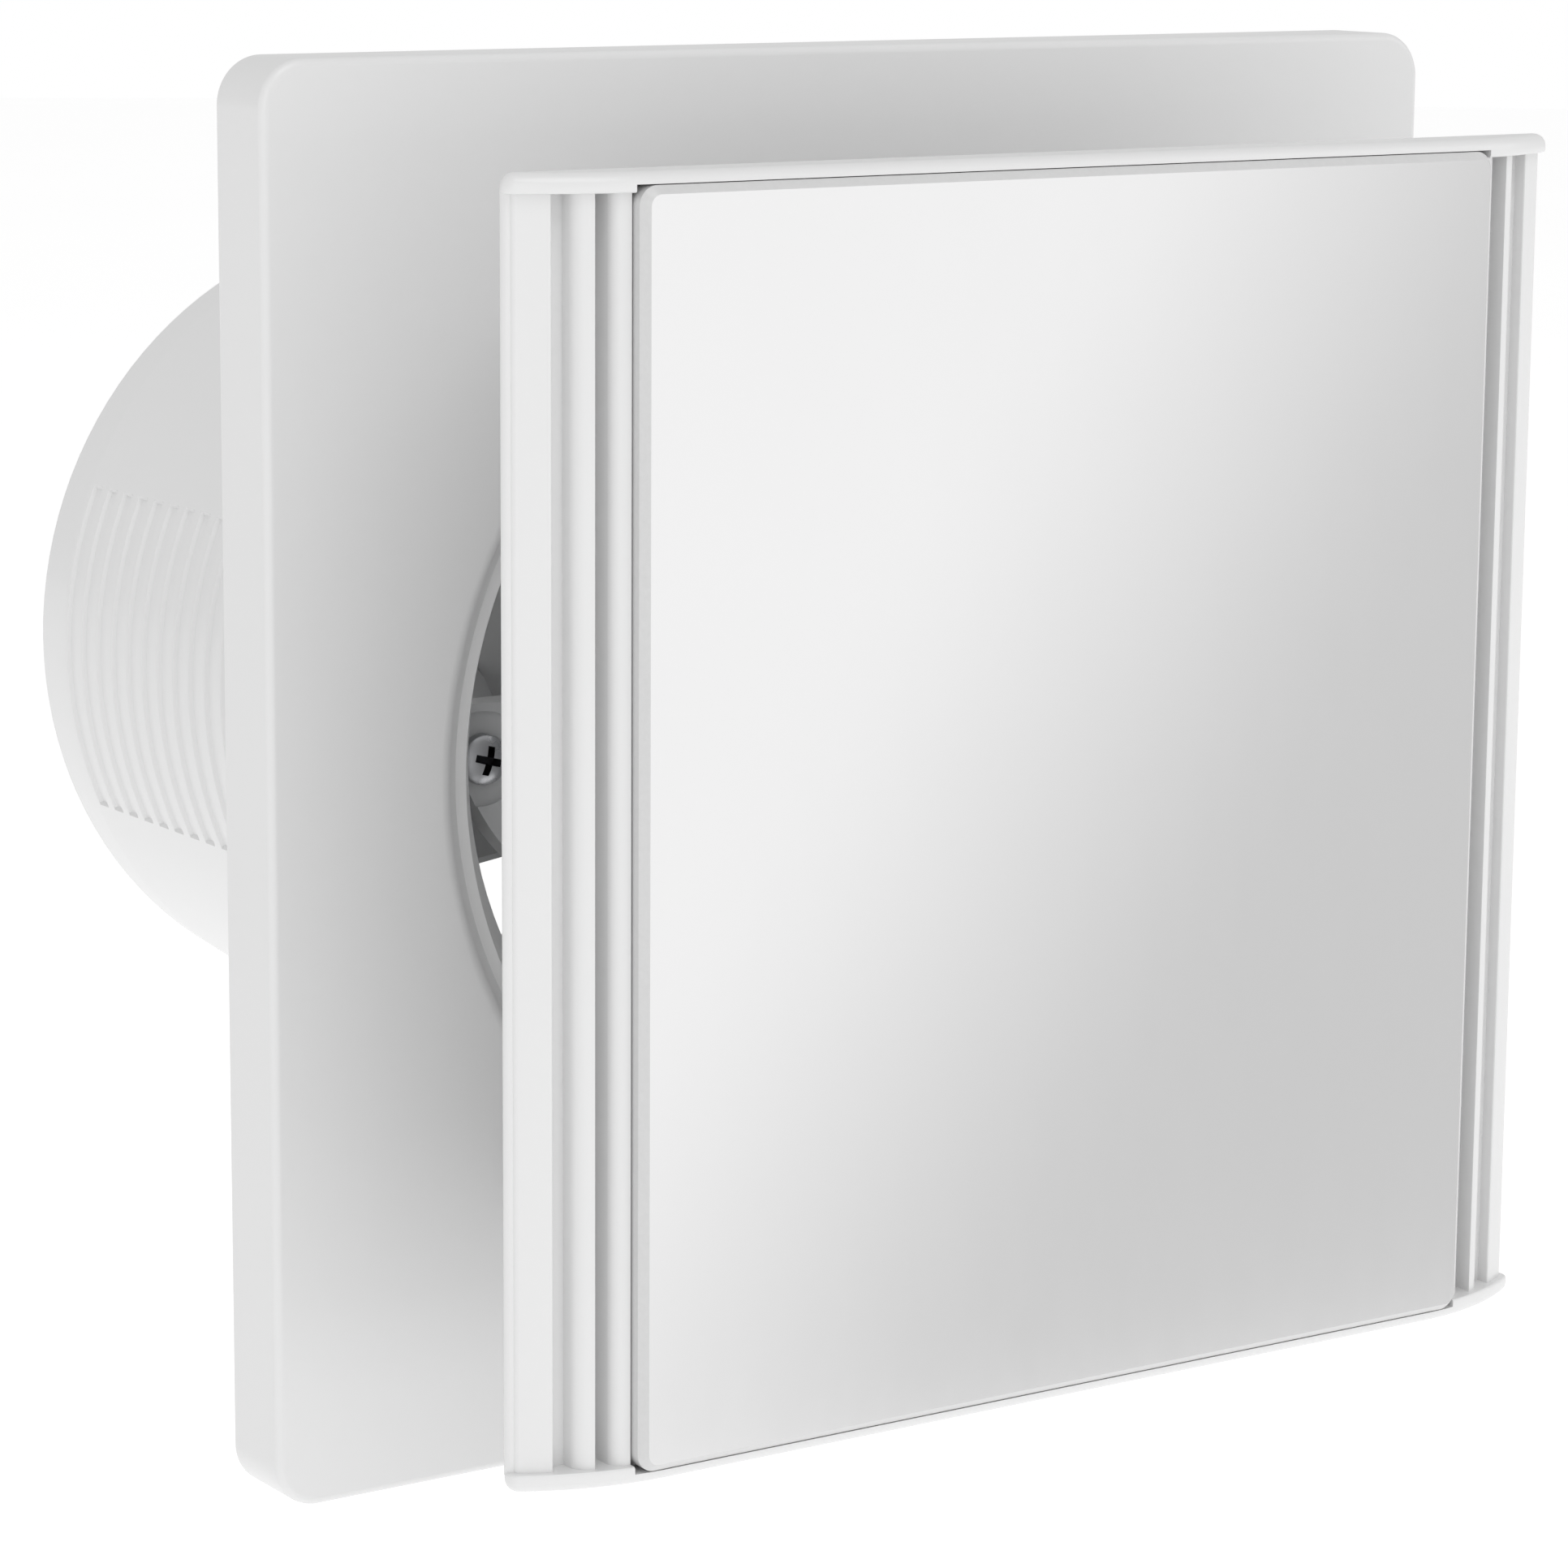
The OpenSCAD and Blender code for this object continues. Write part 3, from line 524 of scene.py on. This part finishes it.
def make_front_plate():
    """The square shell: rounded front edges, the air inlet's bell, posts and holes."""
    half = PLATE_HALF
    corner = PLATE_CORNER
    inner = half - PLATE_SKIN
    skin_back = PLATE_FRONT + PLATE_SKIN
    rings = [square_ring(inner, inner, corner - PLATE_SKIN, 0)]
    rings.append(square_ring(half - 0.15, half - 0.15, corner - 0.15, 0))
    rings.append(square_ring(half, half, corner, -0.15))
    for k in range(7):
        a = pi / 2 * k / 6
        drop = PLATE_EDGE * (1 - cos(a))
        y = PLATE_FRONT + PLATE_EDGE * (1 - sin(a))
        rings.append(square_ring(half - drop, half - drop, corner - drop, y))
    run = MOUTH_EDGE * tan(pi / 8)
    for k in range(7):
        a = pi / 4 * k / 6
        r = THROAT_R + MOUTH_SLOPE + run - MOUTH_EDGE * sin(a)
        rings.append(circle_ring(r, PLATE_FRONT + MOUTH_EDGE * (1 - cos(a))))
    rings.append(circle_ring(THROAT_R + 0.15, PLATE_FRONT + MOUTH_SLOPE - 0.15))
    rings.append(circle_ring(THROAT_R, PLATE_FRONT + MOUTH_SLOPE + 0.1))
    rings.append(circle_ring(THROAT_R, FLANGE_FRONT))
    rings.append(circle_ring(TUBE_OUT_R, FLANGE_FRONT))
    rings.append(circle_ring(TUBE_OUT_R, skin_back))
    rings.append(square_ring(inner, inner, corner - PLATE_SKIN, skin_back))
    shell = loft("front_plate_body", rings, True)
    posts = [rod("post", PEG_SEAT_R + PEG_BOSS_WALL, skin_back - 1, FLANGE_FRONT, p)
             for p in corner_points(PEGS)]
    posts += [rod("post", WALL_HEAD_R + WALL_BOSS_WALL, skin_back - 1, FLANGE_FRONT, p)
              for p in corner_points(WALL_HOLES)]
    posts += [rod("post", SCREW_POST_R, skin_back - 1, FLANGE_FRONT, p)
              for p in corner_points(SCREW_POSTS)]
    boolean(shell, joined("posts", posts), "UNION")
    holes = [rod("hole", PEG_SEAT_R, PLATE_FRONT - 1, 1, p) for p in corner_points(PEGS)]
    for p in corner_points(WALL_HOLES):
        head = WALL_HEAD_DEEP + PLATE_FRONT
        profile = [(0.01, PLATE_FRONT - 1), (WALL_HEAD_R, PLATE_FRONT - 1), (WALL_HEAD_R, head),
                   (WALL_HOLE_R, head), (WALL_HOLE_R, 1), (0.01, 1)]
        holes.append(turned("hole", profile, 48, p))
    holes.append(rod("hole", CABLE_HOLE_R, PLATE_FRONT - 1, 1, (0, CABLE_Z)))
    boolean(shell, joined("holes", holes), "DIFFERENCE")
    bevel(shell, 0.18, 2, 50)
    settle(shell)
    return place(smooth(shell, 30), WHITE, "root", "front_plate")


def groove_stations():
    """Depths along the duct where the grooves' walls start and end, with how deep each is."""
    stations = []
    for i in range(GROOVES):
        centre = GROOVE_LAST - i * GROOVE_PITCH
        for side in (-1, 1):
            stations.append((centre + side * (GROOVE_TOP / 2 + 0.12), 0.0))
            stations.append((centre + side * GROOVE_TOP / 2, 0.04))
            stations.append((centre + side * (GROOVE_FLOOR / 2 + 0.1), GROOVE_DEPTH - 0.05))
            stations.append((centre + side * GROOVE_FLOOR / 2, GROOVE_DEPTH))
    return sorted(stations)


def groove_share(angle):
    """1 inside the grooved fields at 3 and 9 o'clock, 0 outside."""
    off = abs((angle + 90) % 180 - 90)
    return min(max((GROOVE_HALF_ANGLE - off) / GROOVE_FADE, 0.0), 1.0)


def duct_angles():
    angles = [float(a) for a in range(0, 360, 3)]
    for side in (0, 180):
        for sign in (-1, 1):
            for step in (0.0, GROOVE_FADE):
                angles.append((side + sign * (GROOVE_HALF_ANGLE - step)) % 360)
    return sorted(set(angles))


def make_duct():
    """The spigot with its grooves, collar, bore with a shoulder, and the bracket's columns."""
    outside = [(THROAT_R, FLANGE_FRONT + 0.1), (THROAT_R, -COLLAR_T), (COLLAR_R, -COLLAR_T),
               (COLLAR_R, 0.0), (DUCT_R, 0.0)]
    profile = [(r, y, 0.0) for r, y in outside]
    profile += [(DUCT_R, y, depth) for y, depth in groove_stations()]
    profile += [(DUCT_R, DUCT_TAPER_FROM - 0.25, 0.0), (DUCT_R - 0.04, DUCT_TAPER_FROM + 0.25, 0.0)]
    for k in range(5):
        a = pi / 2 * k / 4
        profile.append((DUCT_END_R - DUCT_RIM * (1 - cos(a)), DUCT_END - DUCT_RIM * (1 - sin(a)), 0.0))
    inside = [(DUCT_BORE_R + 0.15, DUCT_END), (DUCT_BORE_R, DUCT_END - 0.15), (DUCT_BORE_R, OUTLET_FROM),
              (CHAMBER_R, OUTLET_FROM), (CHAMBER_R, FLANGE_FRONT + 2), (THROAT_R - 0.5, FLANGE_FRONT),
              (THROAT_R - 0.15, FLANGE_FRONT)]
    profile += [(r, y, 0.0) for r, y in inside]
    rings = []
    for r, y, depth in profile:
        ring = []
        for angle in duct_angles():
            here = r - depth * groove_share(angle)
            ring.append((here * cos(radians(angle)), y, here * sin(radians(angle))))
        rings.append(ring)
    tube = loft("tube", rings, True)
    columns = []
    for angle in ARM_ANGLES:
        reach = CHAMBER_R + 0.6 - COLUMN_R
        at = (reach * cos(radians(angle)), reach * sin(radians(angle)))
        columns.append(rod("column", COLUMN_R, COLUMN_Y[0], COLUMN_Y[1], at, edge=0.4))
    duct = joined("duct_body", [tube] + columns)
    return place(smooth(duct, 28), WHITE, "root", "duct_housing")


def cap_ring(inset, z):
    """The caps seen from above: flat in front, curved back to a small round at both ends."""
    r = CAP_CURVE_R - inset
    end_r = CAP_END_R - inset
    meet = atan2(CAP_END[0] - CAP_FLAT, CAP_AXIS_Y - CAP_END[1])
    right = []
    for k in range(25):
        a = meet * k / 24
        right.append((CAP_FLAT + r * sin(a), CAP_AXIS_Y - r * cos(a)))
    for k in range(1, 17):
        a = meet + (pi - meet) * k / 16
        right.append((CAP_END[0] + end_r * sin(a), CAP_END[1] - end_r * cos(a)))
    return [(x, y, z) for x, y in right] + [(-x, y, z) for x, y in reversed(right)]


def make_cap(side):
    """Top or bottom cap, its outer edge fully rounded, with the rebate that takes the glass."""
    rings = []
    for edge, z, steps, turn in ((CAP_INNER_EDGE, CAP_INNER, 4, -1), (CAP_OUTER_EDGE, COVER_HALF_H, 9, 1)):
        for k in range(steps):
            a = pi / 2 * k / (steps - 1)
            a = pi / 2 - a if turn < 0 else a
            rings.append(cap_ring(edge * (1 - cos(a)), side * (z - turn * edge * (1 - sin(a)))))
    cap = loft("cap", rings, False)
    lo, hi = sorted((side * (CAP_INNER - 1), side * (CAP_INNER + CAP_RECESS)))
    rebate = block("rebate", (-FINS[0][0], COVER_FRONT - 1, lo), (FINS[0][0], COVER_BACK + 1, hi))
    return boolean(cap, rebate, "DIFFERENCE")


def fin_nose(x):
    """Depth of the fins' front at x."""
    reach = max(x - CAP_FLAT, 0.0)
    return CAP_AXIS_Y - sqrt((CAP_CURVE_R - FIN_SET_BACK) ** 2 - reach ** 2)


def fin_outline(x0, x1):
    """An inner fin seen from above: its nose follows the caps' curve and rounds off outwards."""
    points = []
    for k in range(5):
        x = x0 + (x1 - FIN_ROUND - x0) * k / 5
        points.append((x, fin_nose(x)))
    for k in range(13):
        a = pi / 2 * k / 12
        x = x1 - FIN_ROUND * (1 - sin(a))
        points.append((x, fin_nose(x) + FIN_ROUND * (1 - cos(a))))
    return points + [(x1, FIN_BACK), (x0, FIN_BACK)]


def last_fin_outline():
    """The outermost fin, rounded like the ends of the caps."""
    end_r = CAP_END_R - FIN_SET_BACK
    meet = atan2(CAP_END[0] - CAP_FLAT, CAP_AXIS_Y - CAP_END[1])
    r = CAP_CURVE_R - FIN_SET_BACK
    points = []
    far = CAP_FLAT + r * sin(meet)
    for k in range(7):
        x = LAST_FIN + (far - LAST_FIN) * k / 6
        points.append((x, fin_nose(x)))
    for k in range(1, 9):
        a = meet + (pi - meet) * k / 8
        points.append((CAP_END[0] + end_r * sin(a), CAP_END[1] - end_r * cos(a)))
    return points + [(LAST_FIN, FIN_BACK)]


def bead_outline():
    turn = 2 * pi / 32
    return [(BEAD[0] + BEAD_R * cos(k * turn), BEAD[1] + BEAD_R * sin(k * turn)) for k in range(32)]


def make_cover():
    """Caps, fins, board with ribs, and the posts with their pegs, as one moulding."""
    parts = [make_cap(side) for side in (-1, 1)]
    reach = CAP_INNER + 0.4
    for outline in [fin_outline(x0, x1) for x0, x1 in FINS] + [last_fin_outline()]:
        for side in (-1, 1):
            mirrored = [(side * x, y) for x, y in outline]
            parts.append(bevel(prism("fin", mirrored, -reach, reach), FIN_EDGE, 4, 30))
    for side in (-1, 1):
        parts.append(prism("bead", [(side * x, y) for x, y in bead_outline()], -reach, reach))
        x0, x1 = sorted((side * (FINS[0][0] + 0.5), side * (LAST_FIN + 0.5)))
        parts.append(block("web", (x0, FIN_BACK - WEB_T, -reach), (x1, FIN_BACK - WEB_INSET, reach)))
    reach = CAP_INNER + CAP_RECESS + 0.2
    board = block("board", (-BOARD_HALF, BOARD[0], -reach), (BOARD_HALF, BOARD[1], reach))
    parts.append(bevel(board, 0.2, 2))
    for x in (-PEGS[0], PEGS[0]):
        rib = block("rib", (x - RIB_T / 2, BOARD[1] - 0.5, -reach), (x + RIB_T / 2, COVER_BACK, reach))
        parts.append(bevel(rib, 0.25, 3))
    for z in (-PEGS[1], 0.0, PEGS[1]):
        rib = block("rib", (-BOARD_HALF + 1, BOARD[1] - 0.5, z - RIB_T / 2),
                    (BOARD_HALF - 1, COVER_BACK, z + RIB_T / 2))
        parts.append(bevel(rib, 0.25, 3))
    for p in corner_points(PEGS):
        parts.append(rod("post", POST_R, BOARD[1] - 0.5, POST_END, p, edge=0.35))
        parts.append(rod("peg", PEG_R, POST_END - 1, PEG_END, p, edge=0.7))
    cover = joined("cover_moulding", parts)
    return place(smooth(cover, 30), WHITE, "cover", "cover_frame")


def recess_ring(share, y, at):
    """Outline of a cross recess; share runs from its mouth to its floor."""
    span = RECESS_SPAN[0] + (RECESS_SPAN[1] - RECESS_SPAN[0]) * share
    w = RECESS_HALF_W[0] + (RECESS_HALF_W[1] - RECESS_HALF_W[0]) * share
    ring = []
    for quarter in range(4):
        a = radians(90 * quarter + RECESS_TURN)
        for x, z in ((span, -w), (span, w), (w, w)):
            ring.append((at[0] + x * cos(a) - z * sin(a), y, at[1] + x * sin(a) + z * cos(a)))
    return ring


def make_screw(at):
    """A pan-head screw with a domed head, a cross recess and a threaded shank."""
    dome_r = SCREW_HEAD_R * DOME_SHARE
    top = SCREW_SEAT - SCREW_HEAD_H
    profile = [(0.01, top)]
    for k in range(1, 12):
        r = (SCREW_HEAD_R - 0.15) * k / 11
        profile.append((r, top + dome_r - sqrt(dome_r ** 2 - r ** 2)))
    profile += [(SCREW_HEAD_R - 0.03, SCREW_SEAT - 1.1), (SCREW_HEAD_R, SCREW_SEAT - 1.0),
                (SCREW_HEAD_R, SCREW_SEAT - 0.12), (SCREW_HEAD_R - 0.12, SCREW_SEAT), (SCREW_R, SCREW_SEAT)]
    pitch = (SCREW_LENGTH - 1.0) / THREAD_TURNS
    for k in range(THREAD_TURNS):
        y = SCREW_SEAT + 0.4 + k * pitch
        profile += [(SCREW_R, y), (SCREW_R - 0.2, y + pitch / 2)]
    profile += [(SCREW_R - 0.3, SCREW_SEAT + SCREW_LENGTH), (0.01, SCREW_SEAT + SCREW_LENGTH)]
    screw = turned("screw", profile, 64, at)
    screw.data.materials.append(ZINC)
    rings = [recess_ring(-0.3, top - 0.4, at), recess_ring(1, top + RECESS_DEPTH, at)]
    recess = loft("recess", rings, False)
    # the recess walls take the painted shade material instead of the screw's zinc
    recess.data.materials.append(PAINTED_RECESS_SHADE)
    mod = screw.modifiers.new("recess", "BOOLEAN")
    mod.operation = "DIFFERENCE"
    mod.solver = "EXACT"
    mod.material_mode = "TRANSFER"
    mod.object = recess
    settle(screw)
    bpy.data.objects.remove(recess)
    return screw


def make_bracket_screws():
    parts = []
    for angle in ARM_ANGLES:
        at = (SCREW_CIRCLE * cos(radians(angle)), SCREW_CIRCLE * sin(radians(angle)))
        parts.append(make_screw(at))
    screws = joined("arm_screws", parts)
    return place(smooth(screws, 30), (ZINC, PAINTED_RECESS_SHADE), "root", "bracket_screws")


def make_glass():
    """The mirror panel: polished face, ground bevel and sides."""
    w, h, c = GLASS_HALF_W, GLASS_HALF_H, GLASS_CORNER
    b = GLASS_BEVEL
    shape = [(0.15, GLASS_BACK), (0.0, GLASS_BACK - 0.15), (0.0, GLASS_FRONT + b + 0.05),
             (0.05, GLASS_FRONT + b), (b - 0.05, GLASS_FRONT + 0.05), (b + 0.03, GLASS_FRONT)]
    rings = [square_ring(w - i, h - i, c - i, y) for i, y in shape]
    panel = loft("glass_sheet", rings, False)
    for m in (FACE, EDGE):
        panel.data.materials.append(m)
    for poly in panel.data.polygons:
        front = poly.center.y < (GLASS_FRONT + 0.01) * MM and len(poly.vertices) > 4
        poly.material_index = 0 if front else 1
    smooth(panel, 25)
    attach(panel, "cover")
    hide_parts("glass_panel")
    return panel


def dress(node, material, edge, angle=35, segments=2):
    """Rounds a carried-over CAD node's edges and gives it its material."""
    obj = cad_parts[node]
    obj.data.materials.clear()
    obj.data.materials.append(material)
    weld = obj.modifiers.new("weld", "WELD")
    weld.merge_threshold = WELD_WITHIN * MM
    if edge:
        bevel(obj, edge, segments, angle)
    obj.data.shade_smooth()
    even = obj.modifiers.new("even", "WEIGHTED_NORMAL")
    even.keep_sharp = True
    return obj


CARRIED = {
    "back_plate": (WHITE, 0.2), "plate_screws": (ZINC, 0.08), "peg_grommets": (PALE_RUBBER, 0.25),
    "cable_grommet": (RUBBER, 0.3), "motor_bracket": (GREY, 0.35),
    "terminal_cover": (GREY, 0.35), "terminal_cover_screws": (ZINC, 0.12), "terminal_block": (IVORY, 0.2),
    "terminal_inserts": (BRASS, 0.06), "terminal_screws": (ZINC, 0.08), "cable_clamp": (IVORY, 0.25),
    "clamp_screws": (ZINC, 0.12), "gland_grommet": (RUBBER, 0.3), "motor_leads": (WIRE, 0.0),
    "stator_core": (LAMINATED, 0.08), "shading_rings": (COPPER, 0.06), "coil_bobbins": (BLACK, 0.15),
    "coil_windings": (WOUND, 0.5), "front_bridge": (CAST, 0.25), "rear_bridge": (CAST, 0.25),
    "front_bush": (BRONZE, 0.12), "rear_bush": (BRONZE, 0.12), "bush_retainers": (ZINC, 0.05),
    "motor_screws": (ZINC, 0.12), "rotor_core": (LAMINATED, 0.08), "rotor_cage": (CAST, 0.12),
    "shaft": (GROUND, 0.06), "thrust_washers": (IVORY, 0.1), "impeller": (WHEEL, 0.3),
    "impeller_clip": (ZINC, 0.06), "adhesive_pads": (FOAM, 0.12),
}


# ---------------------------------------------------------------- camera, light and floor

def make_camera():
    a = radians(CAMERA_TURN)
    e = radians(CAMERA_DOWN)
    roll = radians(CAMERA_ROLL)
    forward = Vector((sin(a) * cos(e), cos(a) * cos(e), -sin(e)))
    level = Vector((cos(a), -sin(a), 0))
    above = level.cross(forward)
    right = level * cos(roll) + above * sin(roll)
    up = above * cos(roll) - level * sin(roll)
    data = bpy.data.cameras.new("camera")
    data.lens = CAMERA_LENS
    data.sensor_width = SENSOR_WIDTH
    data.dof.use_dof = False
    camera = bpy.data.objects.new("camera", data)
    camera.rotation_mode = "QUATERNION"
    turn = Matrix((right, up, -forward)).transposed()
    camera.rotation_quaternion = turn.to_quaternion()
    camera.location = Vector(CAMERA_AT) * MM
    bpy.context.scene.collection.objects.link(camera)
    bpy.context.scene.camera = camera


def make_lamps():
    """Large soft lamps round the object, all aimed at it from the same distance."""
    for name, towards, watts in LAMPS:
        data = bpy.data.lights.new(name, "AREA")
        data.shape = "DISK"
        data.size = LAMP_SIZE
        data.energy = watts
        light = bpy.data.objects.new(name, data)
        away = Vector(towards).normalized()
        light.location = away * LAMP_DISTANCE
        light.rotation_mode = "QUATERNION"
        light.rotation_quaternion = away.to_track_quat("Z", "Y")
        bpy.context.scene.collection.objects.link(light)


def make_world():
    world = bpy.data.worlds.new("studio")
    world.use_nodes = True
    bpy.context.scene.world = world
    world.node_tree.nodes["Background"].inputs["Color"].default_value = (1, 1, 1, 1)
    world.node_tree.nodes["Background"].inputs["Strength"].default_value = WORLD


def glowing(name):
    """An emission material and its parts."""
    mat = bpy.data.materials.new(name)
    mat.use_nodes = True
    nodes = mat.node_tree.nodes
    nodes.clear()
    glow = nodes.new("ShaderNodeEmission")
    output = nodes.new("ShaderNodeOutputMaterial")
    mat.node_tree.links.new(glow.outputs["Emission"], output.inputs["Surface"])
    return mat, nodes, mat.node_tree.links, glow


def make_backdrop():
    """A white dome that only the camera sees."""
    work = bmesh.new()
    bmesh.ops.create_uvsphere(work, u_segments=48, v_segments=24, radius=BACKDROP_R * MM)
    mesh = bpy.data.meshes.new("backdrop")
    work.to_mesh(mesh)
    work.free()
    dome = bpy.data.objects.new("backdrop", mesh)
    bpy.context.scene.collection.objects.link(dome)
    mat, nodes, links, glow = glowing("backdrop")
    dome.data.materials.append(mat)
    dome.visible_diffuse = False
    dome.visible_glossy = False
    dome.visible_transmission = False
    dome.visible_shadow = False


def make_card():
    """A card that only reflections see: its brightness falls from one corner to the other."""
    x0, x1, z0, z1 = CARD_BOX
    corners = [(x0, CARD_Y, z0), (x1, CARD_Y, z0), (x1, CARD_Y, z1), (x0, CARD_Y, z1)]
    card = mesh_from("reflection_card", corners, [(0, 1, 2, 3)])
    mat, nodes, links, glow = glowing("reflection_card")
    across = nodes.new("ShaderNodeVectorMath")
    across.operation = "DOT_PRODUCT"
    across.inputs[1].default_value = (1, 0, -CARD_SLANT)
    links.new(object_coords(nodes, links), across.inputs[0])
    fall = ramp(nodes, links, across.outputs["Value"], *CARD_GLOW, CARD_FALL[0] * MM, CARD_FALL[1] * MM)
    links.new(fall, glow.inputs["Strength"])
    card.data.materials.append(mat)
    card.visible_camera = False
    card.visible_diffuse = False
    card.visible_shadow = False


def make_floor():
    half = FLOOR_HALF
    corners = [(x, y, FLOOR_Z) for x, y in ((-half, -half), (half, -half), (half, half), (-half, half))]
    floor = mesh_from("floor", corners, [(0, 1, 2, 3)])
    mat, nodes, links, shader = new_material("floor")
    speckle = noise(nodes, links, object_coords(nodes, links), 3, 2)
    links.new(tint(nodes, links, speckle, (0.93, 0.93, 0.93), (0.95, 0.95, 0.95)),
              shader.inputs["Base Color"])
    shader.inputs["Roughness"].default_value = 0.9
    shader.inputs["Emission Color"].default_value = (1, 1, 1, 1)
    shader.inputs["Emission Strength"].default_value = FLOOR_GLOW
    floor.data.materials.append(mat)


make_camera()
make_world()
make_lamps()
make_backdrop()
make_floor()
make_card()
bpy.context.scene.view_settings.view_transform = "Standard"

make_front_plate()
make_duct()
make_bracket_screws()
make_cover()
make_glass()
for node, (material, edge) in CARRIED.items():
    dress(node, material, edge)
